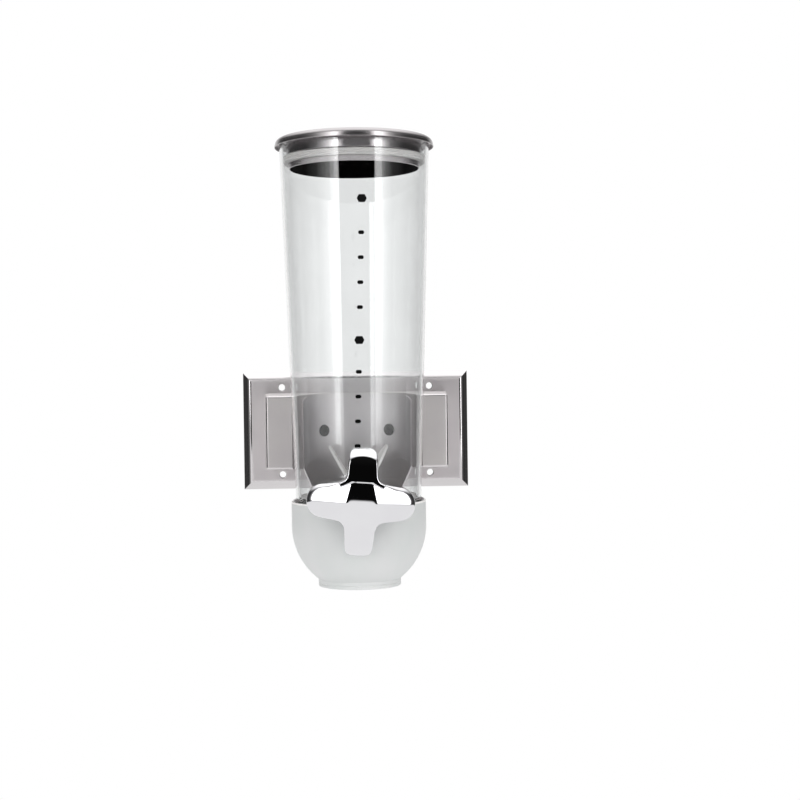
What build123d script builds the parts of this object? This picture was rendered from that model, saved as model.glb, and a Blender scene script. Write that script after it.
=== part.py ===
from build123d import *
import os
from math import asin, cos, degrees, radians, sin, sqrt, tan

# Wall-mounted dispenser for dry food. Millimetres, +Z up, +X to the viewer's right.
# The wall is the plane y = 0, the object stands out towards -Y, and the origin is the
# centre of the wall plate's back.

# Wall plate: a pressed steel fascia over a moulded backing
plate_width = 201.0
plate_height = 104.0
plate_depth = 8.0
plate_lip = 1.0
fascia_gauge = 0.9
backing_clearance = 0.3
backing_sheet = 2.5
backing_rib = 2.0
wall_hole_span_x = 132.0
wall_hole_span_z = 77.8
wall_hole_r = 3.0
wall_post_r = 5.5

# Cradle: a drafted block with a hollow saddle
cradle_width = 157.0
cradle_height = 63.0
cradle_depth = 46.0
cradle_draft = 2.6
cradle_edge = 1.4
cradle_wall = 3.0
cradle_web = 8.2
pocket_inner_x = 44.0

# Housing: a bowl with two bearing ears
bowl_rim_z = -58.7
bowl_r = 57.0
bowl_wall = 2.5
bowl_straight = 19.3
gasket_height = 1.2
gasket_inset = 0.2
ledge_height = 2.0
ledge_width = 2.0
ear_r = 15.0
ear_boss_r = 9.0
ear_boss_rise = 1.5
ear_gap = 1.5
outlet_r = 34.9
outlet_wall = 2.5
outlet_drop = 6.1
outlet_flange = 2.4
outlet_flange_height = 1.6

# Canister: a tapered clear tube, whose foot stands in the housing
canister_top_z = 245.6
canister_bottom_z = -66.7
canister_wall = 2.5
canister_foot_gap = 1.7
taper_rate = 0.034
bead_inset = 1.4
bead_height = 2.5

# Metering wheel and its chamber
wheel_z = -53.0
wheel_gap = 5.5
vane_count = 6
vane_first_angle = 30.0
vane_thickness = 2.0
vane_end_inset = 5.0
sleeve_r = 13.0
hub_across = 20.0
hub_end_inset = 2.5
chamber_clearance = 1.3
liner_wall = 2.0
liner_flange_height = 2.0
liner_hole_r = 27.0

# Shaft, bushes, washers and clip
shaft_r = 4.0
shaft_flat = 3.0
running_fit = 0.05
slip_fit = 0.1
bush_wall = 1.2
bush_flange_r = 7.0
bush_flange_height = 1.2
bush_inset = 0.7
washer_r = 6.6
washer_height = 1.0
stack_gap = 0.1
clip_r = 6.2
clip_height = 1.0
clip_groove_r = 3.2
clip_mouth = 5.0
shaft_tail = 1.5
shaft_slot_r = 7.5

# Knob: four lobes round a raised centre
knob_reach = 43.5
knob_turn = 4.0
knob_arm_root = 28.0
knob_arm_tip = 21.5
knob_arm_corner = 6.0
knob_lobe_root = 36.0
knob_lobe_tip = 24.0
knob_lobe_corner = 11.5
knob_web = 7.0
knob_depth = 26.0
knob_dome_r = 80.0
knob_edge = 4.5
knob_back_edge = 1.0
knob_collar_r = 11.0
knob_collar_height = 4.0
knob_bore_depth = 18.0
set_screw_r = 2.0
set_screw_length = 6.5
set_screw_inset = 2.0
set_screw_socket_r = 1.0
set_screw_socket_depth = 2.2

# Hanger: a curved sheet from the cradle down to the housing
hanger_offset = 1.0
hanger_gauge = 2.5
hanger_top_z = 30.5
hanger_bottom_z = -92.0
hanger_half_width = 50.5
hanger_foot_half_width = 22.0
hanger_corner = 5.0
hanger_hole_r = 12.0
hanger_gap = 0.3
pad_half_width = 18.0
pad_top_z = -77.0
pad_bottom_z = -90.0

# Screws
visible_screw_x = 30.0
visible_screw_z = 0.6
visible_head_r = 5.2
visible_head_height = 1.9
visible_screw_length = 13.0
screw_r = 2.0
tapped_gap = 0.05
through_gap = 0.3
cradle_screw_x = 58.0
cradle_screw_z = 20.0
cradle_head_r = 4.0
cradle_head_height = 2.2
cradle_head_sink = 3.4
cradle_screw_length = 18.0
cradle_boss_r = 5.5
housing_screw_angle = 9.0
housing_screw_z = -84.0
housing_head_r = 3.6
housing_head_height = 2.2
housing_screw_length = 12.0
housing_boss_r = 4.5
screw_tip = 0.8
pan_share = 0.55
recess_share = 1.1
recess_width = 1.0
recess_depth = 1.1

# Lid: a steel cap over a cup with a silicone ring
lid_overhang = 4.0
lid_height = 2.6
lid_gauge = 0.8
lid_lip = 7.2
lid_roll = 4.5
lid_curl = 2.0
lid_skirt_gap = 3.9
lid_skirt_gauge = 1.2
lid_bottom_z = 222.6
lid_bottom_edge = 2.4
seal_low_z = 226.8
seal_height = 6.0
seal_groove = 1.2
seal_gap = 0.3
seal_lip = 1.4
seal_lip_count = 3
seal_lip_slope = 0.7

# Level marks: two large and two rows of four small, on a column that leans a little
mark_rise = 0.15
mark_large_z = (77.0, 191.3)
mark_small_first_z = (-9.0, 103.6)
mark_small_pitch = 20.1
mark_small_count = 4
mark_large_width = 8.2
mark_large_height = 6.4
mark_corner = 0.6
mark_small_width = 4.9
mark_small_height = 3.2
mark_column_x = -1.6
mark_column_lean = 1.7

# Cutters run past the solids they cut by this much
overrun = 1.0

# Worked out from the values above
bowl_inner_r = bowl_r - bowl_wall
bowl_centre_z = bowl_rim_z - bowl_straight
gasket_r_in = bowl_inner_r + gasket_inset
gasket_r_out = bowl_r - gasket_inset
bead_r = bowl_r - bead_inset
outlet_bottom_z = bowl_centre_z - sqrt(bowl_r**2 - outlet_r**2) - outlet_drop
canister_foot_r = bowl_inner_r - canister_foot_gap
canister_mouth_r = canister_foot_r + taper_rate * (canister_top_z - canister_bottom_z)
wheel_r = bowl_inner_r - wheel_gap
vane_half_length = wheel_r - vane_end_inset
hub_half_length = wheel_r - hub_end_inset
hanger_r_in = bowl_r + hanger_offset
saddle_r = hanger_r_in + hanger_gauge + hanger_gap
standoff = plate_depth + cradle_web + saddle_r
axis_y = -standoff
wheel_axis = (0, axis_y, wheel_z)
lid_r = canister_mouth_r + lid_overhang
lid_skirt_r = canister_mouth_r - canister_wall - lid_skirt_gap
liner_top_z = canister_bottom_z - hanger_gap
boss_face = bowl_r + ear_boss_rise
washer_start = boss_face + bush_flange_height + stack_gap
washer_end = washer_start + washer_height
stack_end = washer_end + stack_gap
lid_top_z = canister_top_z + lid_height


def canister_r(z):
    """Outer radius of the tapered tube at height z."""
    return canister_foot_r + taper_rate * (z - canister_bottom_z)


def turned(*outline):
    """A solid turned about the canister's axis from its half section, given as lines."""
    section = make_face(Curve() + list(outline))
    return Pos(0, axis_y, 0) * revolve(Plane.XZ * section, Axis.Z)


def turned_polygon(*points):
    """The same from a closed polygon of (radius, height) points."""
    return turned(Polyline(*points, close=True))


def sphere_arc(centre_z, radius, start, end):
    """An arc of a sphere's half section, from one (radius, height) point to another."""
    middle = Vector(start[0] + end[0], start[1] + end[1] - 2 * centre_z).normalized()
    return ThreePointArc(start, (middle.X * radius, centre_z + middle.Y * radius), end)


def sphere_z(centre_z, radius, r):
    """Height of the lower half of a sphere at distance r from the axis."""
    return centre_z - sqrt(radius**2 - r**2)


def sphere_x(centre_z, radius, z):
    """Distance of a sphere's surface from the axis at height z."""
    return sqrt(radius**2 - (z - centre_z) ** 2)


def upright(radius, low, high):
    """A cylinder round the canister's axis."""
    return Pos(0, axis_y, (low + high) / 2) * Cylinder(radius, high - low)


def block(low, high):
    """A box from its lowest corner to its highest."""
    size = [b - a for a, b in zip(low, high)]
    centre = [(a + b) / 2 for a, b in zip(low, high)]
    return Pos(*centre) * Box(*size)


def along_y(radius, start, end):
    """A cylinder along the wheel's axis, from start to end in front of the canister's axis."""
    middle = axis_y - (start + end) / 2
    return Pos(0, middle, wheel_z) * Rot(90, 0, 0) * Cylinder(radius, end - start)


def radial_plane(angle, z, radius, inward=False):
    """A plane behind the canister, square to its radius, facing the wall or the axis."""
    out = Vector(sin(radians(angle)), cos(radians(angle)), 0)
    origin = Vector(0, axis_y, z) + out * radius
    return Plane(origin, x_dir=(0, 0, 1), z_dir=out * (-1 if inward else 1))


def pan_screw(head_r, head_height, length):
    """A pan-head screw from its seat at the origin, shank up, with a cross recess."""
    head = Pos(0, 0, -head_height / 2) * Cylinder(head_r, head_height)
    head = fillet(head.edges().sort_by(Axis.Z)[0], head_height * pan_share)
    shank = Pos(0, 0, length / 2) * Cylinder(screw_r, length)
    shank = chamfer(shank.edges().sort_by(Axis.Z)[-1], screw_tip)
    slot = Box(head_r * recess_share, recess_width, recess_depth)
    cross = slot + Rot(0, 0, 90) * slot
    return head + shank - Pos(0, 0, -head_height + recess_depth / 2) * cross


def plate_shell(inset, top_inset):
    """The plate's outer form, with straight edges and then a 45 degree border, set in."""
    straight = plate_lip - inset * tan(radians(22.5))
    base = Plane.XZ * Rectangle(plate_width - 2 * inset, plate_height - 2 * inset)
    edge = extrude(base, straight)
    step = Pos(0, -straight, 0) * base
    return edge + extrude(step, plate_depth - top_inset - straight, taper=45)


def at_wall_holes(shape):
    """Copies of a shape at the four wall holes."""
    return [
        Pos(sx * wall_hole_span_x / 2, 0, sz * wall_hole_span_z / 2) * shape
        for sx in (-1, 1)
        for sz in (-1, 1)
    ]


def at_cradle_screws(shape):
    """Copies of a shape at the four cradle screws."""
    return [
        Pos(sx * cradle_screw_x, 0, sz * cradle_screw_z) * shape
        for sx in (-1, 1)
        for sz in (-1, 1)
    ]


def post(radius, start, end):
    """A cylinder square to the wall, from start to end in front of it."""
    return Pos(0, -(start + end) / 2, 0) * Rot(90, 0, 0) * Cylinder(radius, end - start)


def make_fascia():
    shell = plate_shell(0, 0) - plate_shell(fascia_gauge, fascia_gauge)
    shell -= at_wall_holes(post(wall_hole_r, -overrun, plate_depth + overrun))
    return shell - at_cradle_screws(post(screw_r + through_gap, -overrun, plate_depth + overrun))


def make_backing():
    inset = fascia_gauge + backing_clearance
    width = plate_width - 2 * inset
    height = plate_height - 2 * inset
    top = plate_depth - fascia_gauge
    slope = inset + (top - plate_lip) + fascia_gauge
    body = block((-width / 2, -backing_sheet, -height / 2), (width / 2, 0, height / 2))
    outer = (plate_width - 2 * slope, plate_height - 2 * slope)
    inner = [side - 2 * backing_rib for side in outer]
    frame = Rectangle(*outer) - Rectangle(*inner)
    cross = Rectangle(inner[0], backing_rib) + Rectangle(backing_rib, inner[1])
    ribs = extrude(Pos(0, -backing_sheet, 0) * (Plane.XZ * (frame + cross)), top - backing_sheet)
    body += ribs
    body += at_wall_holes(post(wall_post_r, 0, top))
    body += at_cradle_screws(post(wall_post_r, 0, top))
    body &= plate_shell(inset, fascia_gauge)
    body -= at_wall_holes(post(wall_hole_r, -overrun, top + overrun))
    body -= at_cradle_screws(post(screw_r + through_gap, -overrun, top + overrun))
    head_well = post(cradle_head_r + through_gap, -overrun, cradle_head_sink)
    return body - at_cradle_screws(head_well)


def make_cradle():
    front = plate_depth + cradle_depth
    width, height = cradle_width, cradle_height
    root = Pos(0, -plate_depth, 0) * (
        Plane.XZ * Rectangle(width + 2 * cradle_draft, height + 2 * cradle_draft)
    )
    face = Pos(0, -front, 0) * (Plane.XZ * Rectangle(width, height))
    body = loft([root, face], ruled=True)
    body -= upright(saddle_r, -height, height)
    rim = body.edges().group_by(Axis.Y)[0]
    body = chamfer(rim, cradle_edge)
    half = cradle_height / 2 - cradle_wall
    pocket = block(
        (pocket_inner_x, -front + cradle_wall, -half),
        (width / 2 - cradle_wall, -plate_depth, half),
    )
    pockets = pocket + mirror(pocket, Plane.YZ)
    pockets -= at_cradle_screws(post(cradle_boss_r, 0, front))
    pockets -= upright(saddle_r + cradle_wall, -height, height)
    body -= pockets
    tap = post(screw_r + tapped_gap, 0, cradle_head_sink + cradle_screw_length + overrun)
    body -= at_cradle_screws(tap)
    return body - [
        visible_screw_plane(side) * Cylinder(screw_r + tapped_gap, 2 * (visible_screw_length + overrun))
        for side in (-1, 1)
    ]


def make_cradle_screws():
    screw = Pos(0, -cradle_head_sink, 0) * Rot(90, 0, 0)
    screw *= pan_screw(cradle_head_r, cradle_head_height, cradle_screw_length)
    return Compound(children=at_cradle_screws(screw))


def visible_screw_plane(side):
    """Seat of one of the two screws seen through the canister, in the hanger's hollow."""
    seat = sqrt(hanger_r_in**2 - visible_head_r**2)
    angle = degrees(asin(visible_screw_x / hanger_r_in))
    return radial_plane(side * angle, visible_screw_z, seat)


def make_hanger_screws():
    screw = pan_screw(visible_head_r, visible_head_height, visible_screw_length)
    return Compound(children=[visible_screw_plane(side) * screw for side in (-1, 1)])


def housing_screw_plane(side, radius):
    """Plane of one of the two housing screws, which point inwards through the hanger."""
    return radial_plane(side * housing_screw_angle, housing_screw_z, radius, inward=True)


def make_housing_screws():
    seat = hanger_r_in + hanger_gauge
    screw = pan_screw(housing_head_r, housing_head_height, housing_screw_length)
    return Compound(children=[housing_screw_plane(side, seat) * screw for side in (-1, 1)])


def make_hanger():
    outer = upright(hanger_r_in + hanger_gauge, hanger_bottom_z, hanger_top_z)
    sheet = outer - upright(hanger_r_in, hanger_bottom_z, hanger_top_z)
    waist = -cradle_height / 2
    right = [
        (hanger_half_width, hanger_top_z),
        (hanger_half_width, waist),
        (hanger_foot_half_width, hanger_bottom_z),
    ]
    left = [(-x, z) for x, z in reversed(right)]
    outline = make_face(Polyline(*right, *left, close=True))
    outline = fillet(outline.vertices(), hanger_corner)
    sheet &= Pos(0, axis_y, 0) * extrude(Plane.XZ * outline, -standoff)
    sheet -= along_y(hanger_hole_r, -standoff, 0)
    hole = Cylinder(screw_r + through_gap, 2 * (hanger_gauge + visible_head_height))
    sheet -= [visible_screw_plane(side) * hole for side in (-1, 1)]
    return sheet - [housing_screw_plane(side, hanger_r_in) * hole for side in (-1, 1)]


def make_canister():
    low, high = canister_bottom_z, canister_top_z
    tube = turned_polygon(
        (canister_r(low) - canister_wall, low),
        (canister_r(low), low),
        (canister_r(high), high),
        (canister_r(high) - canister_wall, high),
    )
    bead_z = bowl_rim_z + gasket_height
    bead = turned_polygon(
        (canister_r(bead_z) - canister_wall / 2, bead_z),
        (bead_r, bead_z),
        (bead_r, bead_z + bead_height / 2),
        (canister_r(bead_z), bead_z + bead_height),
        (canister_r(bead_z) - canister_wall / 2, bead_z + bead_height),
    )
    reach = ear_r + ear_gap
    bead -= block((-reach, -2 * standoff, low), (reach, 0, 0))
    slot = along_y(shaft_slot_r, -standoff, standoff)
    slot += block(
        (-shaft_slot_r, -2 * standoff, low - overrun), (shaft_slot_r, 0, wheel_z)
    )
    return tube + bead - slot


def make_base_gasket():
    low, high = bowl_rim_z, bowl_rim_z + gasket_height
    ring = upright(gasket_r_out, low, high) - upright(gasket_r_in, low, high)
    reach = ear_r + ear_gap
    return ring - block((-reach, -2 * standoff, low - overrun), (reach, 0, high + overrun))


def make_housing():
    inner_r = bowl_inner_r
    centre_z = bowl_centre_z
    hole_r = outlet_r + slip_fit
    ledge_z = liner_top_z - liner_flange_height
    ledge_r = inner_r - ledge_width
    outer_low = (hole_r, sphere_z(centre_z, bowl_r, hole_r))
    inner_low = (hole_r, sphere_z(centre_z, inner_r, hole_r))
    bowl = turned(
        Polyline((inner_r, bowl_rim_z), (bowl_r, bowl_rim_z), (bowl_r, centre_z)),
        sphere_arc(centre_z, bowl_r, (bowl_r, centre_z), outer_low),
        Line(outer_low, inner_low),
        sphere_arc(centre_z, inner_r, inner_low, (inner_r, centre_z)),
        Polyline(
            (inner_r, centre_z),
            (inner_r, ledge_z - ledge_height - ledge_width),
            (ledge_r, ledge_z - ledge_height),
            (ledge_r, ledge_z),
            (inner_r, ledge_z),
            (inner_r, bowl_rim_z),
        ),
    )
    low = bowl_rim_z - ledge_height
    wall = upright(bowl_r, low, 0) - upright(inner_r, low, 0)
    ear = along_y(ear_r, -standoff, standoff)
    ear += block((-ear_r, -2 * standoff, low), (ear_r, 0, wheel_z))
    body = bowl + (wall & ear)
    body += along_y(ear_boss_r, -boss_face, boss_face) - upright(inner_r, 2 * low, 0)
    bore = shaft_r + running_fit + bush_wall + running_fit
    body -= along_y(bore, -standoff, standoff)
    pad = upright(hanger_r_in, pad_bottom_z, pad_top_z)
    pad &= block((-pad_half_width, axis_y, pad_bottom_z), (pad_half_width, 0, pad_top_z))
    rear_bosses = [
        housing_screw_plane(side, hanger_r_in)
        * Pos(0, 0, housing_screw_length / 2)
        * Cylinder(housing_boss_r, housing_screw_length)
        for side in (-1, 1)
    ]
    body += pad - Pos(0, axis_y, centre_z) * Sphere(inner_r) - upright(inner_r, centre_z, pad_top_z)
    within = upright(hanger_r_in, outlet_bottom_z, pad_top_z)
    body += [boss & within for boss in rear_bosses]
    tap = Cylinder(screw_r + tapped_gap, 2 * (housing_screw_length + overrun))
    return body - [housing_screw_plane(side, hanger_r_in) * tap for side in (-1, 1)]


def make_outlet_ring():
    centre_z = bowl_centre_z
    inner_r = bowl_inner_r
    lip_r = outlet_r + outlet_flange
    seat_z = sphere_z(centre_z, inner_r, outlet_r + slip_fit)
    lip_low = sphere_z(centre_z, inner_r, lip_r)
    top = lip_low + outlet_flange_height
    bore = outlet_r - outlet_wall
    return turned(
        Polyline(
            (bore, outlet_bottom_z),
            (outlet_r, outlet_bottom_z),
            (outlet_r, seat_z),
            (outlet_r + slip_fit, seat_z),
        ),
        sphere_arc(centre_z, inner_r, (outlet_r + slip_fit, seat_z), (lip_r, lip_low)),
        Polyline((lip_r, lip_low), (lip_r, top), (bore, top), (bore, outlet_bottom_z)),
    )


def make_liner():
    inner = wheel_r + chamber_clearance
    outer = inner + liner_wall
    top = liner_top_z
    under = top - liner_flange_height
    rim_r = bowl_inner_r - hanger_gap
    inner_top = (sphere_x(wheel_z, inner, top), top)
    outer_top = (sphere_x(wheel_z, outer, under), under)
    outer_low = (liner_hole_r, sphere_z(wheel_z, outer, liner_hole_r))
    inner_low = (liner_hole_r, sphere_z(wheel_z, inner, liner_hole_r))
    return turned(
        Polyline(inner_top, (rim_r, top), (rim_r, under), outer_top),
        sphere_arc(wheel_z, outer, outer_top, outer_low),
        Line(outer_low, inner_low),
        sphere_arc(wheel_z, inner, inner_low, inner_top),
    )


def shaft_section(radius, flat):
    """A round section with one flat, facing down."""
    cut = Pos(0, -flat - radius, 0) * Rectangle(4 * radius, 2 * radius)
    return Circle(radius) - cut


def make_bush(side):
    start = bowl_inner_r - bush_inset
    end = boss_face + bush_flange_height
    body = along_y(shaft_r + running_fit + bush_wall, start, boss_face)
    body += along_y(bush_flange_r, boss_face, end)
    body -= along_y(shaft_r + running_fit, start - overrun, end + overrun)
    return body if side > 0 else mirror(body, Plane.XZ.offset(-axis_y))


def make_washer(side):
    body = along_y(washer_r, washer_start, washer_end)
    body -= along_y(shaft_r + slip_fit, washer_start - overrun, washer_end + overrun)
    return body if side > 0 else mirror(body, Plane.XZ.offset(-axis_y))


def make_shaft():
    rear = stack_end + clip_height + shaft_tail
    front = stack_end + knob_bore_depth
    body = along_y(shaft_r, -rear, front)
    flat_low = wheel_z - shaft_r - overrun
    flat_high = wheel_z - shaft_flat
    for start, end in ((-hub_half_length, hub_half_length), (stack_end, front + overrun)):
        body -= block(
            (-shaft_r, axis_y - end, flat_low), (shaft_r, axis_y - start, flat_high)
        )
    groove = along_y(shaft_r + overrun, -stack_end - clip_height, -stack_end)
    groove -= along_y(clip_groove_r, -stack_end - clip_height, -stack_end)
    return body - groove


def make_clip():
    start = -stack_end - clip_height
    end = -stack_end
    ring = along_y(clip_r, start, end)
    ring -= along_y(clip_groove_r + slip_fit, start - overrun, end + overrun)
    return ring - block(
        (-clip_mouth / 2, axis_y - end - overrun, wheel_z - 2 * clip_r),
        (clip_mouth / 2, axis_y - start + overrun, wheel_z),
    )


def across_wheel(section, half_length):
    """A section seen from the front, drawn out both ways along the wheel's axis."""
    return Pos(*wheel_axis) * extrude(Plane.XZ * section, half_length, both=True)


def make_hub():
    core = RegularPolygon(hub_across / 2, vane_count) - shaft_section(
        shaft_r + running_fit, shaft_flat + running_fit
    )
    return across_wheel(core, hub_half_length)


def make_wheel():
    bore = RegularPolygon(hub_across / 2 + slip_fit, vane_count)
    sleeve = across_wheel(Circle(sleeve_r) - bore, vane_half_length)
    disc = Circle(wheel_r) & Rectangle(2 * vane_half_length, 2 * wheel_r)
    half = disc & Pos(0, wheel_r, 0) * Rectangle(2 * wheel_r, 2 * (wheel_r - sleeve_r + overrun))
    vane = extrude(Plane.YZ * half, vane_thickness / 2, both=True)
    for turn in range(vane_count):
        angle = vane_first_angle + turn * 360 / vane_count
        sleeve += Pos(*wheel_axis) * Rot(0, angle, 0) * vane
    return sleeve


def tapered_bar(root, tip, corner):
    """An upright bar, widest at its middle, with rounded corners at both ends."""
    right = [(tip / 2, knob_reach), (root / 2, 0), (tip / 2, -knob_reach)]
    left = [(-x, y) for x, y in reversed(right)]
    bar = make_face(Polyline(*right, *left, close=True))
    ends = [v for v in bar.vertices() if abs(v.Y) > knob_reach / 2]
    return fillet(ends, corner)


def knob_outline():
    """Front view of the knob: an upright arm across a broader bar, a little turned."""
    arm = tapered_bar(knob_arm_root, knob_arm_tip, knob_arm_corner)
    bar = Rot(0, 0, 90) * tapered_bar(knob_lobe_root, knob_lobe_tip, knob_lobe_corner)
    cross = arm + bar
    half_arm, half_bar = knob_arm_root / 2, knob_lobe_root / 2
    inner = [v for v in cross.vertices() if abs(v.X) < half_arm and abs(v.Y) < half_bar]
    return Rot(0, 0, -knob_turn) * fillet(inner, knob_web)


def make_knob():
    back = stack_end + knob_collar_height
    front = back + knob_depth
    body = Pos(0, axis_y - back, wheel_z) * extrude(Plane.XZ * knob_outline(), knob_depth)
    body &= Pos(0, axis_y - front + knob_dome_r, wheel_z) * Sphere(knob_dome_r)
    body = fillet(body.faces().sort_by(Axis.Y)[0].edges(), knob_edge)
    body = chamfer(body.faces().sort_by(Axis.Y)[-1].edges(), knob_back_edge)
    body += along_y(knob_collar_r, stack_end, back + overrun)
    bore = shaft_section(shaft_r + running_fit, shaft_flat + running_fit)
    bore = extrude(Plane.XZ * bore, knob_bore_depth + slip_fit)
    body -= Pos(0, axis_y - stack_end, wheel_z) * bore
    return body - set_screw(set_screw_r + tapped_gap, 2 * knob_collar_r)


def set_screw(radius, length):
    """A cylinder up to the shaft's flat from below, through the knob's collar."""
    top = wheel_z - shaft_flat - running_fit
    return Pos(0, axis_y - stack_end - set_screw_inset, top - length / 2) * Cylinder(
        radius, length
    )


def make_set_screw():
    body = set_screw(set_screw_r, set_screw_length)
    low = body.faces().sort_by(Axis.Z)[0]
    socket = Plane(low.center(), z_dir=(0, 0, 1)) * RegularPolygon(set_screw_socket_r, 6)
    return body - extrude(socket, set_screw_socket_depth)


def make_lid_shell():
    low = lid_top_z - lid_lip
    inner = lid_r - lid_gauge
    under = lid_top_z - lid_gauge
    corner_r = lid_r - lid_roll
    corner_z = lid_top_z - lid_roll
    return turned(
        Line((0, lid_top_z), (corner_r, lid_top_z)),
        RadiusArc((corner_r, lid_top_z), (lid_r, corner_z), lid_roll),
        Polyline((lid_r, corner_z), (lid_r - lid_curl, low), (inner - lid_curl, low), (inner, corner_z)),
        RadiusArc((inner, corner_z), (corner_r, under), lid_gauge - lid_roll),
        Polyline((corner_r, under), (0, under), (0, lid_top_z)),
    )


def make_lid_core():
    """The cup under the lid: a flange on the canister's rim, a skirt and a flat bottom."""
    top = lid_top_z - lid_gauge
    skirt = lid_skirt_r
    groove = skirt - seal_groove
    inner = groove - lid_skirt_gauge
    flat = groove - lid_bottom_edge
    flange = lid_r - lid_roll
    edge_z = lid_bottom_z + lid_bottom_edge
    return turned(
        Line((0, lid_bottom_z), (flat, lid_bottom_z)),
        RadiusArc((flat, lid_bottom_z), (groove, edge_z), -lid_bottom_edge),
        Polyline(
            (groove, edge_z),
            (groove, seal_low_z + seal_height),
            (skirt, seal_low_z + seal_height + seal_groove),
            (skirt, canister_top_z),
            (flange, canister_top_z),
            (flange, top),
            (inner, top),
            (inner, lid_bottom_z + lid_skirt_gauge),
            (0, lid_bottom_z + lid_skirt_gauge),
            (0, lid_bottom_z),
        ),
    )


def make_lid_seal():
    inner = lid_skirt_r - seal_groove
    outer = canister_r(seal_low_z) - canister_wall - seal_gap
    body = upright(outer - seal_lip, seal_low_z, seal_low_z + seal_height)
    pitch = seal_height / seal_lip_count
    for index in range(seal_lip_count):
        low = seal_low_z + index * pitch
        high = low + pitch
        body += turned_polygon(
            (inner, low), (outer, low + seal_lip_slope), (outer, high - seal_lip_slope), (inner, high)
        )
    return body - upright(inner, seal_low_z - overrun, seal_low_z + seal_height + overrun)


def large_mark():
    """A lozenge of six sides."""
    half, tall = mark_large_width / 2, mark_large_height / 2
    right = [(half * mark_corner, tall), (half, 0), (half * mark_corner, -tall)]
    left = [(-x, y) for x, y in reversed(right)]
    return make_face(Polyline(*right, *left, close=True))


def small_mark():
    """Two round lobes side by side."""
    r = mark_small_height / 2
    shift = mark_small_width / 2 - r
    lobes = Pos(-shift, 0, 0) * Circle(r) + Pos(shift, 0, 0) * Circle(r)
    return lobes + Rectangle(2 * shift, r)


def mark_x(z):
    return mark_column_x + (z - mark_small_first_z[0]) * tan(radians(mark_column_lean))


def make_level_marks():
    small = [
        first + index * mark_small_pitch
        for first in mark_small_first_z
        for index in range(mark_small_count)
    ]
    sketches = [(z, large_mark()) for z in mark_large_z] + [(z, small_mark()) for z in small]
    low, high = canister_bottom_z, canister_top_z
    skin = turned_polygon(
        (canister_r(low), low),
        (canister_r(low) + mark_rise, low),
        (canister_r(high) + mark_rise, high),
        (canister_r(high), high),
    )
    marks = []
    for z, sketch in sketches:
        prism = Pos(mark_x(z), axis_y, z) * extrude(Plane.XZ * sketch, standoff)
        marks += (skin & prism).solids()
    return Compound(children=marks)


nodes = {
    "fascia_plate": make_fascia(),
    "backing_plate": make_backing(),
    "cradle": make_cradle(),
    "cradle_screws": make_cradle_screws(),
    "hanger_plate": make_hanger(),
    "hanger_screws": make_hanger_screws(),
    "housing": make_housing(),
    "housing_screws": make_housing_screws(),
    "outlet_ring": make_outlet_ring(),
    "metering_liner": make_liner(),
    "base_gasket": make_base_gasket(),
    "front_bush": make_bush(1),
    "rear_bush": make_bush(-1),
    "shaft": make_shaft(),
    "front_washer": make_washer(1),
    "rear_washer": make_washer(-1),
    "retaining_clip": make_clip(),
    "paddle_hub": make_hub(),
    "paddle_wheel": make_wheel(),
    "knob": make_knob(),
    "knob_set_screw": make_set_screw(),
    "canister": make_canister(),
    "level_marks": make_level_marks(),
    "lid_shell": make_lid_shell(),
    "lid_core": make_lid_core(),
    "lid_seal": make_lid_seal(),
}

os.makedirs("parts", exist_ok=True)
for name, shape in nodes.items():
    export_step(shape, f"parts/{name}.step")
    print(name, len(shape.solids()), round(shape.volume, 1))
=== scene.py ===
# %% [markdown]
# # A wall-mounted dispenser for dry food
#
# A clear tapered tube with a steel lid stands in a frosted bowl. A steel plate and a raised
# cradle hold it on the wall, and a chrome knob turns a soft wheel in the bowl.
# Each cell builds one thing and prints what it made. Lengths are in millimetres and turn
# into metres where a mesh is made. The wall is the plane y = 0, -Y faces the viewer, Z is up.

import bpy
import bmesh
from math import acos, asin, atan2, copysign, cos, hypot, pi, radians, sin, sqrt, tan
from mathutils import Matrix, Vector


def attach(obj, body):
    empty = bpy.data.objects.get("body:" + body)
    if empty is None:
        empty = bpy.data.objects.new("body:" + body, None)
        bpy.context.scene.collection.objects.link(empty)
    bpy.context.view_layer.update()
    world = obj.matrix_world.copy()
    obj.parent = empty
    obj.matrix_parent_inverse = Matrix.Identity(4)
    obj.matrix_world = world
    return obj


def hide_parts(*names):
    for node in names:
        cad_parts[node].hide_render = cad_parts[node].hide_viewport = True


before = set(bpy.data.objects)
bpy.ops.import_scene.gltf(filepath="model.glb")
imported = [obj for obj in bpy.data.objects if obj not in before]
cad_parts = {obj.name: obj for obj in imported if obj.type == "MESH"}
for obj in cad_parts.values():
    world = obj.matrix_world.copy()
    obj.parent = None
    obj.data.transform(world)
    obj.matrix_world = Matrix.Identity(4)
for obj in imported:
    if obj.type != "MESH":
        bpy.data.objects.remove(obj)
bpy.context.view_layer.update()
scene = bpy.context.scene
scene.view_settings.view_transform = "Standard"

# %% [markdown]
# ## Shared sizes
# Several pieces meet at the same line or radius, so those sizes are named once, here. The
# tube's axis stands 77 mm off the wall. The wheel turns about a line that runs along Y.

# %% Sizes
MM = 0.001
AXIS_Y = -77.0
WHEEL_Z = -53.0
TUBE_LOW, TUBE_HIGH = -66.7, 245.6
TUBE_FOOT_R, TUBE_TAPER, TUBE_WALL = 52.8, 0.034, 2.5
BOWL_R, BOWL_WALL, BOWL_RIM_Z, BOWL_CENTRE_Z = 57.0, 2.5, -58.7, -78.0
BOWL_IN = BOWL_R - BOWL_WALL
HANGER_R, HANGER_GAUGE = 58.0, 2.5


def tube_r(z):
    """Outer radius of the tube at height z."""
    return TUBE_FOOT_R + TUBE_TAPER * (z - TUBE_LOW)


print("tube radius at foot and mouth:", tube_r(TUBE_LOW), round(tube_r(TUBE_HIGH), 2))

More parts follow.
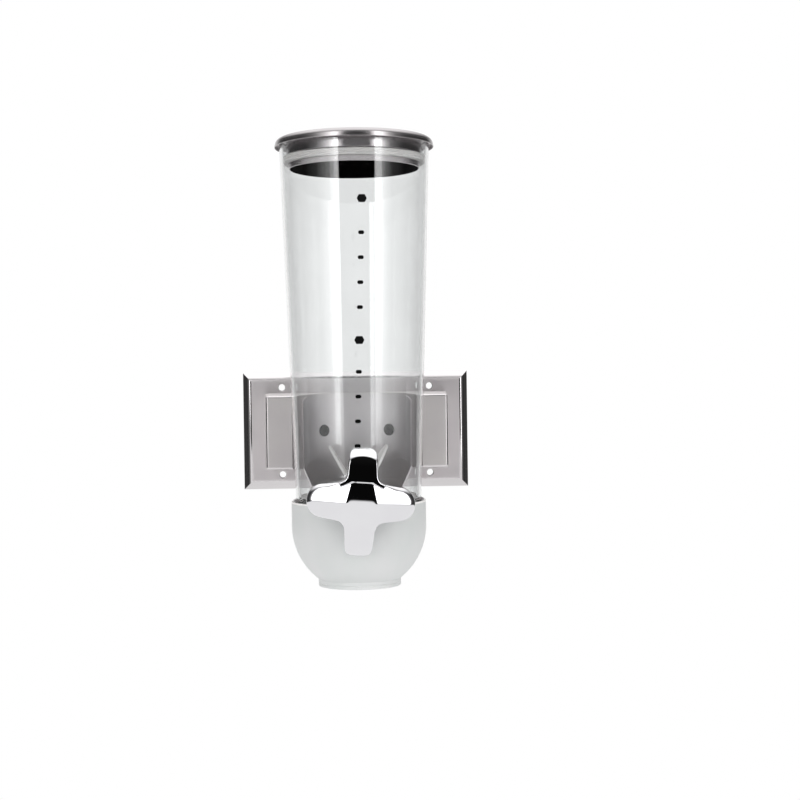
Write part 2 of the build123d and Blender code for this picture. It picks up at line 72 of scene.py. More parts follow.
# %% [markdown]
# ## Round corners and round pieces
# No real edge is perfectly sharp, and a small arc is what catches the light. A profile could
# be drawn by hand with many points. Here it is a short polygon whose corners carry a radius,
# so a size stays easy to read and to change.

# %% Rounded profiles


def rounded(points, segments=5, closed=True):
    """A polygon of (a, b, corner radius) with its corners turned into arcs."""
    out = []
    count = len(points)
    for i, (x, y, radius) in enumerate(points):
        is_end = not closed and i in (0, count - 1)
        if radius <= 0 or is_end:
            out.append((x, y))
            continue
        corner = Vector((x, y))
        a = Vector(points[i - 1][:2]) - corner
        b = Vector(points[(i + 1) % count][:2]) - corner
        half = acos(max(-1.0, min(1.0, a.normalized().dot(b.normalized())))) / 2
        cut = min(radius / tan(half), 0.62 * a.length, 0.62 * b.length)
        a.normalize()
        b.normalize()
        centre = corner + (a + b).normalized() * (cut / cos(half))
        start = corner + a * cut - centre
        end = corner + b * cut - centre
        sweep = atan2(start.x * end.y - start.y * end.x, start.dot(end))
        for k in range(segments + 1):
            t = sweep * k / segments
            out.append(
                (
                    centre.x + start.x * cos(t) - start.y * sin(t),
                    centre.y + start.x * sin(t) + start.y * cos(t),
                )
            )
    return out


square = rounded([(0, 0, 1), (9, 0, 1), (9, 9, 1), (0, 9, 1)])
print("a square with round corners has", len(square), "points")

# %% [markdown]
# Tube, lid, bowl and collar are turned shapes. A stack of scaled circles would also do, but
# `spin` takes the half section as a turner would cut it, and one profile tells the whole shape.

# %% Lathe
AXIS_Z = Matrix.Translation((0, AXIS_Y, 0))
AXIS_WHEEL = Matrix.Translation((0, AXIS_Y, WHEEL_Z)) @ Matrix.Rotation(radians(90), 4, "X")


def join(target, part):
    """Moves one bmesh into another."""
    mesh = bpy.data.meshes.new("joining")
    part.to_mesh(mesh)
    part.free()
    target.from_mesh(mesh)
    bpy.data.meshes.remove(mesh)


def lathe(profile, place=AXIS_Z, steps=160, closed=True, bm=None):
    """A profile of (radius, height) spun round Z and put in its place."""
    target = bm or bmesh.new()
    part = bmesh.new()
    verts = [part.verts.new((r, 0, z)) for r, z in profile]
    pairs = list(zip(verts, verts[1:])) + ([(verts[-1], verts[0])] if closed else [])
    edges = [part.edges.new(pair) for pair in pairs]
    bmesh.ops.spin(
        part, geom=verts + edges, cent=(0, 0, 0), axis=(0, 0, 1), dvec=(0, 0, 0),
        angle=2 * pi, steps=steps, use_merge=True, use_duplicate=False,
    )
    bmesh.ops.remove_doubles(part, verts=part.verts, dist=1e-4)
    bmesh.ops.recalc_face_normals(part, faces=part.faces)
    bmesh.ops.transform(part, matrix=place, verts=part.verts)
    join(target, part)
    return target


print("the tube's axis is at y", AXIS_Z.translation.y, "and the wheel's at z", WHEEL_Z)

# %% [markdown]
# Holes, slots and a saddle are cut with plain boxes and cylinders. Cutting by hand would need
# every crossing of two curved walls worked out, and the exact boolean finds them by itself.

# %% Cutting


def box_bm(low, high):
    """A box between two corners."""
    bm = bmesh.new()
    bmesh.ops.create_cube(bm, size=1.0)
    size = [b - a for a, b in zip(low, high)]
    centre = [(a + b) / 2 for a, b in zip(low, high)]
    place = Matrix.Translation(centre) @ Matrix.Diagonal((*size, 1))
    bmesh.ops.transform(bm, matrix=place, verts=bm.verts)
    return bm


def cylinder_bm(radius, low, high, place=AXIS_Z, steps=64):
    """A plain cylinder, used to cut with."""
    return lathe([(0, low), (radius, low), (radius, high), (0, high)], place, steps, closed=False)


def combine(bm, other, operation):
    """The bmesh left when another one is cut from it, added to it or kept common with it."""
    objects = []
    for part in (bm, other):
        mesh = bpy.data.meshes.new("boolean_part")
        part.to_mesh(mesh)
        part.free()
        objects.append(bpy.data.objects.new("boolean_part", mesh))
        scene.collection.objects.link(objects[-1])
    step = objects[0].modifiers.new("boolean", "BOOLEAN")
    step.operation = operation
    step.object = objects[1]
    step.solver = "EXACT"
    graph = bpy.context.evaluated_depsgraph_get()
    result = bpy.data.meshes.new_from_object(objects[0].evaluated_get(graph))
    out = bmesh.new()
    out.from_mesh(result)
    for item in objects:
        mesh = item.data
        bpy.data.objects.remove(item)
        bpy.data.meshes.remove(mesh)
    bpy.data.meshes.remove(result)
    bmesh.ops.remove_doubles(out, verts=out.verts, dist=1e-3)
    return out


sample = combine(box_bm((-5, -5, 0), (5, 5, 2)), box_bm((-1, -1, -1), (1, 1, 3)), "DIFFERENCE")
print("a plate with a square hole holds", round(sample.calc_volume()), "cubic mm")
sample.free()

# %% [markdown]
# Sharp edges that are left get a small bevel, and each piece is then handed to the frame. Flat
# faces beside a bevel would be shaded as if they bulged, so a Weighted Normal modifier keeps
# them flat.

# %% Bevels and finished pieces


def bevel(bm, edges, width, segments):
    """Rounds some edges off."""
    bmesh.ops.bevel(
        bm, geom=edges, offset=width, offset_type="OFFSET", segments=segments, profile=0.5,
        affect="EDGES", clamp_overlap=True, material=-1,
    )


def soften(bm, width, segments=2, angle=30):
    """Bevels the edges that are sharper than an angle."""
    sharp = radians(angle)
    bevel(
        bm, [e for e in bm.edges if len(e.link_faces) == 2 and e.calc_face_angle(0) > sharp],
        width, segments,
    )
    return bm


def finish_piece(name, bm, body, nodes, materials, sharp=32):
    """Makes the object, shades it smooth with sharp edges, and ties it to the frame."""
    mesh = bpy.data.meshes.new(name)
    bmesh.ops.scale(bm, vec=(MM, MM, MM), verts=bm.verts)
    bm.to_mesh(mesh)
    bm.free()
    for material in materials:
        mesh.materials.append(material)
    mesh.polygons.foreach_set("use_smooth", [True] * len(mesh.polygons))
    mesh.set_sharp_from_angle(angle=radians(sharp))
    piece = bpy.data.objects.new(name, mesh)
    scene.collection.objects.link(piece)
    shading = piece.modifiers.new("flat_faces_stay_flat", "WEIGHTED_NORMAL")
    shading.mode = "FACE_AREA"
    shading.keep_sharp = True
    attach(piece, body)
    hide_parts(*nodes)
    print(f"{name}: {len(mesh.polygons)} faces")
    return piece


soft_box = soften(box_bm((0, 0, 0), (9, 9, 9)), 1.0)
print("a softened box has", len(soft_box.faces), "faces")
soft_box.free()

# %% [markdown]
# ## Materials
# An image could give a surface its grain, but it would stretch and repeat. Every material here
# is made from noise in the object's own coordinates instead, so a size in millimetres is a
# size on the object. These helpers add a node, a grain, a range, a bump and a tint.

# %% Node helpers


def linear(hex_code):
    """The linear colour of an sRGB hex code."""
    parts = [int(hex_code[i : i + 2], 16) / 255 for i in (1, 3, 5)]
    parts = [c / 12.92 if c <= 0.04045 else ((c + 0.055) / 1.055) ** 2.4 for c in parts]
    return (*parts, 1.0)


def add(tree, kind, inputs=None, **settings):
    """Adds a node, with its settings, its values and its links."""
    node = tree.nodes.new(kind)
    for key, value in settings.items():
        setattr(node, key, value)
    for key, value in (inputs or {}).items():
        if isinstance(value, bpy.types.NodeSocket):
            tree.links.new(value, node.inputs[key])
        else:
            node.inputs[key].default_value = value
    return node


def number(tree, operation, *values):
    """One maths node on some values."""
    return add(tree, "ShaderNodeMath", dict(enumerate(values)), operation=operation).outputs[0]


def new_material(name, **values):
    """A Principled material and its tree and shader."""
    material = bpy.data.materials.new(name)
    material.use_nodes = True
    tree = material.node_tree
    shader = tree.nodes["Principled BSDF"]
    for key, value in values.items():
        shader.inputs[key.replace("_", " ")].default_value = value
    return material, tree, shader


print("mid grey as a linear colour:", round(linear("#808080")[0], 3))

# %% Grain, bump and tint


def grain(tree, cell, detail=2.0, turned=False):
    """Noise whose cells have the given size in mm, flat or round the tube's axis."""
    coords = add(tree, "ShaderNodeTexCoord").outputs["Object"]
    if turned:
        parts = add(tree, "ShaderNodeSeparateXYZ", {0: coords}).outputs
        off = number(tree, "ADD", parts["Y"], -AXIS_Y * MM)
        flat = add(tree, "ShaderNodeCombineXYZ", {0: parts["X"], 1: off}).outputs[0]
        radius = add(tree, "ShaderNodeVectorMath", {0: flat}, operation="LENGTH").outputs["Value"]
        coords = add(tree, "ShaderNodeCombineXYZ", {0: radius, 2: parts["Z"]}).outputs[0]
    scale = [1 / (size * MM) for size in cell]
    mapping = add(tree, "ShaderNodeMapping", {"Vector": coords, "Scale": scale}).outputs[0]
    noise = {"Vector": mapping, "Scale": 1.0, "Detail": detail}
    return add(tree, "ShaderNodeTexNoise", noise).outputs["Fac"]


def spread(tree, value, start, end, low, high, **settings):
    """Takes a value from one range to another."""
    values = {"Value": value, "From Min": start, "From Max": end, "To Min": low, "To Max": high}
    return add(tree, "ShaderNodeMapRange", values, **settings).outputs[0]


def bump(tree, shader, value, height_mm):
    """Bumps a surface by a height in mm."""
    node = add(tree, "ShaderNodeBump", {"Height": value, "Distance": height_mm * MM})
    tree.links.new(node.outputs[0], shader.inputs["Normal"])


def tint(tree, shader, value, low_hex, high_hex):
    """A base colour that drifts a little between two."""
    ramp = add(tree, "ShaderNodeValToRGB", {"Fac": value})
    stops = ramp.color_ramp.elements
    for stop, position, hex_code in zip(stops, (0.3, 0.7), (low_hex, high_hex)):
        stop.position = position
        stop.color = linear(hex_code)
    tree.links.new(ramp.outputs["Color"], shader.inputs["Base Color"])


def skin_of(tree, shader, cell, turned, roughness, height, tint_cell, hexes):
    """A fine grain that drives roughness and bump, and a slow drift in colour."""
    lines = grain(tree, cell, 3.0, turned)
    rough = spread(tree, lines, 0.3, 0.7, *roughness)
    tree.links.new(rough, shader.inputs["Roughness"])
    bump(tree, shader, lines, height)
    tint(tree, shader, grain(tree, tint_cell), *hexes)


print("a grain cell of 0.3 mm is a noise scale of", round(1 / (0.3 * MM)), "per metre")

# %% [markdown]
# Steel that was brushed has long thin scratches, and turned steel has them in rings round its
# axis. Both are the same noise with differently long cells: the rings come from measuring the
# distance to the axis first. A softer sheen is a higher roughness, as on the plate's face,
# while pressed edges are smoother and mirror the room.

# %% Metals


def metal(name, low_hex, high_hex, roughness, cell, height, turned=False):
    """A metal whose grain has cells of the given size in mm."""
    material, tree, shader = new_material(name, Metallic=1.0)
    skin_of(tree, shader, cell, turned, roughness, height, (35, 35, 35), (low_hex, high_hex))
    return material


brushed_steel = metal(
    "brushed_stainless_sheet", "#DDD8DA", "#E3DFE0", (0.49, 0.54), (0.25, 5, 14), 0.0008
)
polished_edge = metal(
    "polished_pressed_edge", "#D2CFD0", "#D7D4D5", (0.08, 0.13), (0.3, 5, 14), 0.0004
)
cradle_steel = metal(
    "satin_diecast_metal", "#E1DCDD", "#E7E3E2", (0.49, 0.54), (0.3, 5, 9), 0.0008
)
bright_steel = metal(
    "bright_rolled_steel", "#DFD9DB", "#E5E0E2", (0.46, 0.52), (0.4, 5, 30), 0.0006
)
lid_steel = metal(
    "polished_turned_steel", "#B5B1B2", "#BBB7B8", (0.22, 0.28), (0.3, 30, 0.3), 0.0004, turned=True
)
cup_steel = metal(
    "satin_turned_steel", "#BBB6B8", "#C2BEBF", (0.19, 0.24), (0.3, 30, 0.3), 0.0004, turned=True
)
chrome = metal("chrome_plated_casting", "#E3E2E5", "#E8E8EA", (0.02, 0.05), (9, 9, 9), 0.003)
shaft_steel = metal(
    "ground_stainless_rod", "#C3C1C2", "#CBC9CA", (0.18, 0.28), (0.3, 4, 0.3), 0.002
)
zinc = metal("zinc_plated_screw", "#BFC0BE", "#CFCFCA", (0.25, 0.4), (0.8, 0.8, 0.8), 0.004)
dark_screw = metal("black_oxide_screw", "#3A3838", "#565353", (0.3, 0.45), (0.5, 0.5, 0.5), 0.004)
print("materials in the file so far:", len(bpy.data.materials))

# %% [markdown]
# The tube is clear, the bowl frosted, and the wheel and the lid's ring are silicone. Clear
# plastic is full transmission with a nearly smooth skin. Frosting could be clear plastic with
# a rough skin, but that shows dark pieces behind it, so the bowl lets only part of the light
# through and scatters the rest.

# %% Plastics and silicone


def moulded(name, low_hex, high_hex, roughness, cell, height, **values):
    """A moulded plastic or silicone with a fine skin."""
    material, tree, shader = new_material(name, **values)
    fine = (cell, cell, cell)
    skin_of(tree, shader, fine, False, roughness, height, (25, 25, 40), (low_hex, high_hex))
    return material


clear_plastic = moulded(
    "clear_moulded_plastic", "#F7F8F8", "#FAFBFB", (0.0, 0.01), 45, 0.001,
    Transmission_Weight=1.0, IOR=1.57,
)
frosted_plastic = moulded(
    "frosted_moulded_plastic", "#EFF2F1", "#F5F6F6", (0.42, 0.55), 0.5, 0.003,
    Transmission_Weight=0.3, IOR=1.5,
)
liner_plastic = moulded(
    "natural_moulded_plastic", "#DDE0DF", "#E5E7E6", (0.4, 0.5), 0.6, 0.004,
    Transmission_Weight=0.4, IOR=1.5,
)
silicone = moulded(
    "moulded_silicone", "#FBF8F7", "#FEFCFB", (0.38, 0.5), 0.7, 0.001, IOR=1.41,
)
bearing_plastic = moulded("natural_acetal", "#DEDACB", "#E6E3D6", (0.35, 0.45), 0.6, 0.004)
backing_plastic = moulded("textured_grey_plastic", "#3C3C3F", "#47474A", (0.45, 0.6), 0.8, 0.03)
mark_ink = moulded(
    "screen_printed_ink", "#060606", "#0C0C0C", (0.5, 0.6), 0.3, 0.003, Specular_IOR_Level=0.1,
)
# Painted shade: the cup's underside is near black with no specular reflection, standing in for the
# shade under the lid.
underside_painted_shade = moulded(
    "black_painted_shade_under_cup", "#050405", "#0A0808", (0.7, 0.85), 0.6, 0.003,
    Specular_IOR_Level=0.0,
)
print("materials in the file now:", len(bpy.data.materials))

# %% [markdown]
# ## CAD pieces that stay as they are
# Small fittings and hidden pieces keep their CAD shape, which is exact already. They could be
# modelled again with finer edges, but nobody would see it at this size. They get a real finish.

# %% CAD materials
kept = {
    "backing_plate": backing_plastic,
    "cradle_screws": zinc,
    "housing_screws": zinc,
    "base_gasket": silicone,
    "front_bush": bearing_plastic,
    "rear_bush": bearing_plastic,
    "front_washer": bearing_plastic,
    "rear_washer": bearing_plastic,
    "retaining_clip": shaft_steel,
    "shaft": shaft_steel,
    "paddle_hub": bearing_plastic,
    "knob_set_screw": dark_screw,
    "level_marks": mark_ink,
}
for node, material in kept.items():
    for material_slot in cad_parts[node].material_slots:
        material_slot.material = material
print("CAD pieces painted:", len(kept))

# %% [markdown]
# ## The wall plate
# The real plate is one sheet, pressed so that its border slopes back to the wall, mitred at the
# corners, with four open holes. A box with a bevel would have no hollow behind it. Here the
# outline starts as four edges at the wall. They are extruded again and again, each time a little
# further in and further out from the wall, and the last ring is closed. The same edges are then
# extruded once more along the inside of the sheet.

# %% Rings


def ring_of(bm, points):
    """A closed loop of edges through some points."""
    verts = [bm.verts.new(point) for point in points]
    return [bm.edges.new(pair) for pair in zip(verts, verts[1:] + verts[:1])]


def rectangle(bm, w, h, y):
    """A ring of four edges that faces the viewer, from its half width and half height."""
    return ring_of(bm, [(x, y, z) for x, z in ((-w, -h), (-w, h), (w, h), (w, -h))])


def close(bm, ring):
    """One face across a ring."""
    return bmesh.ops.edgeloop_fill(bm, edges=ring)["faces"]


def extrude_to(bm, ring, w, h, y):
    """Extrudes a rectangle's edges to another half width, half height and depth."""
    made = bmesh.ops.extrude_edge_only(bm, edges=ring)["geom"]
    verts = [item for item in made if isinstance(item, bmesh.types.BMVert)]
    for vert in verts:
        vert.co = (copysign(w, vert.co.x), y, copysign(h, vert.co.z))
    edges = [item for item in made if isinstance(item, bmesh.types.BMEdge)]
    return [edge for edge in edges if all(vert in verts for vert in edge.verts)]


sample = bmesh.new()
close(sample, extrude_to(sample, rectangle(sample, 5, 5, 0), 4, 4, -2))
print("one extrusion and a front make", len(sample.faces), "faces")
sample.free()

# %% Wall plate
PLATE_W, PLATE_H, PLATE_D, PLATE_LIP, SHEET = 201.0, 104.0, 8.0, 1.0, 0.9
BORDER, BEND_R, FOOT_BEND_R = 5.2, 8.6, 0.6
LAST_RING = BORDER + 9.0
HOLE_X, HOLE_Z, HOLE_R, HOLE_ROLL = 66.0, 38.9, 3.0, 0.5


def plate_bm():
    """The pressed sheet with its four holes."""
    shift = SHEET * tan(radians(22.5))
    outer = [
        (0, 0, 0), (0, -PLATE_LIP, FOOT_BEND_R), (BORDER, -PLATE_D, BEND_R),
        (LAST_RING, -PLATE_D, 0),
    ]
    inner = [
        (SHEET, 0, 0), (SHEET, -PLATE_LIP + shift, FOOT_BEND_R / 2),
        (BORDER + shift, -PLATE_D + SHEET, BEND_R - SHEET), (LAST_RING, -PLATE_D + SHEET, 0),
    ]
    bm = bmesh.new()
    w, h = PLATE_W / 2, PLATE_H / 2
    wall_ring = rectangle(bm, w, h, 0)
    for profile in (rounded(outer, 8, closed=False)[1:], rounded(inner, 8, closed=False)):
        ring = wall_ring
        for inset, y in profile:
            ring = extrude_to(bm, ring, w - inset, h - inset, y)
        close(bm, ring)
    bmesh.ops.recalc_face_normals(bm, faces=bm.faces)
    for x in (-HOLE_X, HOLE_X):
        for z in (-HOLE_Z, HOLE_Z):
            place = Matrix.Translation((x, 0, z)) @ Matrix.Rotation(radians(90), 4, "X")
            bm = combine(bm, cylinder_bm(HOLE_R, 1, 20, place, 48), "DIFFERENCE")
    return bm


def roll_holes(bm):
    """Rounds the holes' front edges, which are the short edges in the front face."""
    front = 0.01 - PLATE_D
    short = [e for e in bm.edges if e.calc_length() < 1]
    bevel(bm, [e for e in short if all(v.co.y < front for v in e.verts)], HOLE_ROLL, 4)


def polish_border(bm):
    """Gives the bends and the slopes the second material."""
    for face in bm.faces:
        steepest = -0.90 if face.normal.z > 0.1 else -0.975
        if steepest < face.normal.y < 0.1:
            face.material_index = 1


plate = plate_bm()
roll_holes(plate)
polish_border(plate)
finish_piece(
    "wall_plate", plate, "wall_mount", ["fascia_plate"],
    [brushed_steel, polished_edge], 25,
)

# %% [markdown]
# ## The cradle
# A cast block on the plate, a little wider at its foot so that it leaves its mould, with a
# hollow saddle for the tube. Two rectangles are bridged for the block. Its outer edges are
# broken before the saddle is cut, because the many short edges of the saddle would hold a later
# bevel back to almost nothing.

# %% Cradle
CRADLE_W, CRADLE_H, CRADLE_FRONT, CRADLE_DRAFT = 157.0, 63.0, 54.0, 2.6
CRADLE_BREAK, SADDLE_BREAK = 1.8, 0.6
SADDLE_R = HANGER_R + HANGER_GAUGE + 0.3


def bridge(bm, rings):
    """Faces from each ring to the next."""
    for near, far in zip(rings, rings[1:]):
        bmesh.ops.bridge_loops(bm, edges=near + far)


def cradle_bm():
    """The block with its saddle and its broken edges."""
    bm = bmesh.new()
    w, h = CRADLE_W / 2, CRADLE_H / 2
    foot = rectangle(bm, w + CRADLE_DRAFT, h + CRADLE_DRAFT, -PLATE_D)
    front = rectangle(bm, w, h, -CRADLE_FRONT)
    bridge(bm, [foot, front])
    close(bm, foot)
    close(bm, front)
    bmesh.ops.recalc_face_normals(bm, faces=bm.faces)
    soften(bm, CRADLE_BREAK, 6)
    bm = combine(bm, cylinder_bm(SADDLE_R, -CRADLE_H, CRADLE_H, steps=256), "DIFFERENCE")
    soften(bm, SADDLE_BREAK, 3, 40)
    for face in bm.faces:
        x, y, z = face.calc_center_median()
        outside = abs(x) > w - 3 or abs(z) > h - 3
        if -0.99 < face.normal.y and y < 2.1 - CRADLE_FRONT and outside:
            face.material_index = 1
    return bm


finish_piece(
    "cradle_block", cradle_bm(), "wall_mount", ["cradle"],
    [cradle_steel, polished_edge],
)

# %% [markdown]
# ## The hanger
# A sheet lines the saddle and reaches down to the bowl, which it carries. It could be a flat
# outline bent by a modifier. Here a grid is laid straight onto the cylinder, once for each
# side of the sheet, with each row as wide as the sheet is at that height. The open edges of
# both grids are bridged, so the result is solid.

# %% Bent sheets


def grid_solid(front, back):
    """A closed solid between two equal grids of points."""
    bm = bmesh.new()
    rows, columns = len(front), len(front[0])
    for points in (front, back):
        made = bmesh.ops.create_grid(bm, x_segments=columns - 1, y_segments=rows - 1, size=1)
        for vert, point in zip(made["verts"], sum(points, [])):
            vert.co = point
    bmesh.ops.bridge_loops(bm, edges=[e for e in bm.edges if e.is_boundary])
    bmesh.ops.recalc_face_normals(bm, faces=bm.faces)
    return bm


def bent_sheet(heights, half_width, r_in, r_out, side=1, columns=72):
    """A sheet round the tube's axis: side 1 is behind it, -1 in front."""
    grids = []
    for radius in (r_in, r_out):
        grid = []
        for z in heights:
            edge = asin(half_width(z) / ((r_in + r_out) / 2))
            angles = [edge * (2 * k / columns - 1) for k in range(columns + 1)]
            grid.append([(radius * sin(t), AXIS_Y + side * radius * cos(t), z) for t in angles])
        grids.append(grid)
    return grid_solid(*grids)


def ease(low, high, count):
    """Places that lie closer together near both ends."""
    middle, half = (low + high) / 2, (high - low) / 2
    return [middle - half * cos(pi * k / count) for k in range(count + 1)]


print("eased places:", [round(place, 1) for place in ease(0, 10, 4)])

# %% Hanger
HANGER_TOP, HANGER_LOW, HANGER_WAIST = 30.5, -92.0, -31.5
HANGER_HALF, HANGER_FOOT, HANGER_CORNER = 50.5, 22.0, 6.0
SHAFT_HOLE_R = 12.0


def hanger_half_width(z):
    """Half width of the sheet at height z, with round corners at both ends."""
    share = min(1.0, (z - HANGER_LOW) / (HANGER_WAIST - HANGER_LOW))
    width = HANGER_FOOT + (HANGER_HALF - HANGER_FOOT) * share
    for end in (HANGER_TOP - z, z - HANGER_LOW):
        if end < HANGER_CORNER:
            width -= HANGER_CORNER - sqrt(HANGER_CORNER**2 - (HANGER_CORNER - end) ** 2)
    return width


hanger_heights = ease(HANGER_LOW, HANGER_TOP, 60)
sheet = bent_sheet(hanger_heights, hanger_half_width, HANGER_R, HANGER_R + HANGER_GAUGE)
sheet = combine(sheet, cylinder_bm(SHAFT_HOLE_R, -77, 0, AXIS_WHEEL), "DIFFERENCE")
finish_piece(
    "hanger_sheet", soften(sheet, 0.2, 2, 40), "wall_mount", ["hanger_plate"],
    [bright_steel],
)

# %% [markdown]
# Two dark screws with pan heads hold the hanger. One screw is turned and gets its cross
# recess, with its seat at the origin, and is then placed twice so that it points straight
# out from the sheet.

# %% Visible screws
SCREW_X, SCREW_Z, HEAD_R, HEAD_H = 30.0, 0.6, 5.2, 1.9
SHANK_R, SHANK_L = 2.0, 13.0
RECESS_HALF, RECESS_HALF_WIDTH, RECESS_DEPTH, RECESS_TURN = 2.7, 0.55, 1.1, 20


def screw_bm():
    """A pan-head screw with its seat at the origin and its shank up."""
    profile = rounded(
        [
            (0, -HEAD_H, 0), (HEAD_R, -HEAD_H, 1.25), (HEAD_R, 0, 0.2), (SHANK_R, 0, 0.2),
            (SHANK_R, SHANK_L - 0.8, 0.3), (SHANK_R - 0.8, SHANK_L, 0.1), (0, SHANK_L, 0),
        ],
        6,
        closed=False,
    )
    bm = lathe(profile, Matrix.Identity(4), 48, closed=False)
    for turn in (RECESS_TURN, RECESS_TURN + 90):
        bar = box_bm(
            (-RECESS_HALF, -RECESS_HALF_WIDTH, -HEAD_H - 1),
            (RECESS_HALF, RECESS_HALF_WIDTH, -HEAD_H + RECESS_DEPTH),
        )
        bmesh.ops.transform(bar, matrix=Matrix.Rotation(radians(turn), 4, "Z"), verts=bar.verts)
        bm = combine(bm, bar, "DIFFERENCE")
    return bm


def screws_bm():
    """Both screws, each turned to point out from the hanger's curve."""
    seat = sqrt(HANGER_R**2 - HEAD_R**2)
    bm = bmesh.new()
    for side in (-1, 1):
        angle = side * asin(SCREW_X / HANGER_R)
        out = Vector((sin(angle), cos(angle), 0))
        up = Vector((0, 0, 1))
        place = Matrix((up, out.cross(up), out)).transposed().to_4x4()
        place.translation = Vector((0, AXIS_Y, SCREW_Z)) + out * seat
        part = screw_bm()
        bmesh.ops.transform(part, matrix=place, verts=part.verts)
        join(bm, part)
    return bm


finish_piece(
    "visible_screws", screws_bm(), "wall_mount", ["hanger_screws"], [dark_screw]
)

# %% [markdown]
# ## The bowl and its outlet
# The bowl is moulded in one piece: a straight rim, then a part of a sphere, with an ear at the
# front and the back that carries the shaft. The bowl is turned, each ear is a bent sheet of
# the same curve, each boss is a short cylinder, and unions weld them. Points along an arc are
# worked out by one formula.

# %% Bowl
EAR_R, BOSS_R, BOSS_FACE, BORE_R = 15.0, 9.0, 58.5, 5.3
RIM_FOOT_Z, LEDGE_Z, BOWL_END_R = -69.0, -73.0, 35.0


def sphere_arc(centre_z, radius, r_start, r_end, segments=24):
    """Points down a sphere's lower half, from one distance to another off the axis."""
    a = acos(min(1.0, r_start / radius))
    b = acos(min(1.0, r_end / radius))
    angles = [a + (b - a) * k / segments for k in range(segments + 1)]
    return [(radius * cos(t), centre_z - radius * sin(t)) for t in angles]


def ear_half_width(z):
    """Half width of an ear at height z: straight sides under a half circle."""
    return EAR_R if z <= WHEEL_Z else max(0.3, sqrt(max(0.0, EAR_R**2 - (z - WHEEL_Z) ** 2)))


def shell_bm():
    """The turned bowl with the ledge on which the chamber's flange lies."""
    rim = rounded(
        [(BOWL_IN, RIM_FOOT_Z, 0.3), (BOWL_IN, BOWL_RIM_Z, 0.6), (BOWL_R, BOWL_RIM_Z, 0.6),
         (BOWL_R, BOWL_CENTRE_Z, 0)], 4, closed=False,
    )
    outside = sphere_arc(BOWL_CENTRE_Z, BOWL_R, BOWL_R, BOWL_END_R, 30)[1:]
    inside = sphere_arc(BOWL_CENTRE_Z, BOWL_IN, BOWL_IN, BOWL_END_R, 30)[::-1]
    ledge = [(BOWL_IN, LEDGE_Z), (BOWL_IN - 2, LEDGE_Z + 2), (BOWL_IN - 2, RIM_FOOT_Z)]
    return lathe(rim + outside + inside + ledge, steps=192)


def boss_bm(side):
    """A boss on an ear, hollow inside the bowl."""
    place = AXIS_WHEEL if side < 0 else AXIS_WHEEL @ Matrix.Rotation(pi, 4, "X")
    profile = [(0, 50, 0), (BOSS_R, 50, 0), (BOSS_R, BOSS_FACE, 0.5), (0, BOSS_FACE, 0)]
    boss = lathe(rounded(profile, 4, closed=False), place, 64, closed=False)
    return combine(boss, cylinder_bm(BOWL_IN, -90, 0, steps=192), "DIFFERENCE")


bowl = shell_bm()
ear_heights = ease(BOWL_RIM_Z - 2, WHEEL_Z + EAR_R, 40)
for ear_side in (-1, 1):
    ear = bent_sheet(ear_heights, ear_half_width, BOWL_IN, BOWL_R, ear_side, 24)
    bowl = combine(bowl, soften(ear, 0.5, 2, 50), "UNION")
    bowl = combine(bowl, boss_bm(ear_side), "UNION")
bowl = combine(bowl, cylinder_bm(BORE_R, -90, 90, AXIS_WHEEL), "DIFFERENCE")
finish_piece(
    "frosted_bowl", bowl, "wall_mount", ["housing"], [frosted_plastic], 28
)

# %% [markdown]
# Under the bowl sits a collar with a thin groove near its foot, and inside it a round chamber
# that keeps the portions apart. Both are turned. The chamber's two walls are parts of spheres
# about the wheel's centre, so that the vanes pass close to it everywhere.

# %% Outlet ring and chamber
COLLAR_R, COLLAR_BORE, COLLAR_LOW, COLLAR_TOP, COLLAR_SEAT_R = 34.9, 32.4, -129.15, -116.1, 37.2
GROOVE_LOW, GROOVE_TOP, GROOVE_DEPTH = -126.9, -125.6, 0.5
CHAMBER_R, CHAMBER_OUT_R, FLANGE_R, FLANGE_TOP, DROP_R = 50.3, 52.3, 54.2, -67.0, 27.0

collar_profile = rounded(
    [
        (COLLAR_BORE, COLLAR_LOW, 0.6), (COLLAR_R, COLLAR_LOW, 0.8), (COLLAR_R, GROOVE_LOW, 0.3),
        (COLLAR_R - GROOVE_DEPTH, GROOVE_LOW + 0.4, 0.2),
        (COLLAR_R - GROOVE_DEPTH, GROOVE_TOP - 0.4, 0.2), (COLLAR_R, GROOVE_TOP, 0.3),
        (COLLAR_R, COLLAR_TOP - 3.8, 0), (COLLAR_SEAT_R, COLLAR_TOP - 1.5, 0.2),
        (COLLAR_SEAT_R, COLLAR_TOP, 0.4), (COLLAR_BORE, COLLAR_TOP, 0.6),
    ],
    3,
)
finish_piece(
    "outlet_collar", lathe(collar_profile), "wall_mount", ["outlet_ring"],
    [frosted_plastic],
)
flange = rounded(
    [(48.4, FLANGE_TOP, 0), (FLANGE_R, FLANGE_TOP, 0.4), (FLANGE_R, RIM_FOOT_Z, 0.4),
     (49.8, RIM_FOOT_Z, 0)], 3, closed=False,
)
inner_wall = sphere_arc(WHEEL_Z, CHAMBER_R, 48.3, DROP_R, 24)[::-1]
outer_wall = sphere_arc(WHEEL_Z, CHAMBER_OUT_R, 49.6, DROP_R, 24)
finish_piece(
    "metering_chamber", lathe(inner_wall + flange + outer_wall), "wall_mount",
    ["metering_liner"], [liner_plastic],
)

# %% [markdown]
# ## The soft wheel
# Six soft vanes stand on a sleeve and carry the food round. Each vane is a thin sheet whose
# tip follows the chamber's sphere, so it is a pair of grids like the hanger, only flat. One
# vane is made six times, each turned by a sixth of a turn.

# %% Wheel
WHEEL_R, VANE_HALF, VANE_T, SLEEVE_R, SLEEVE_BORE_R = 49.0, 44.0, 2.0, 13.0, 9.0
VANES, FIRST_VANE, VANE_ROOT, VANE_ROWS = 6, 30, 0.4, 10


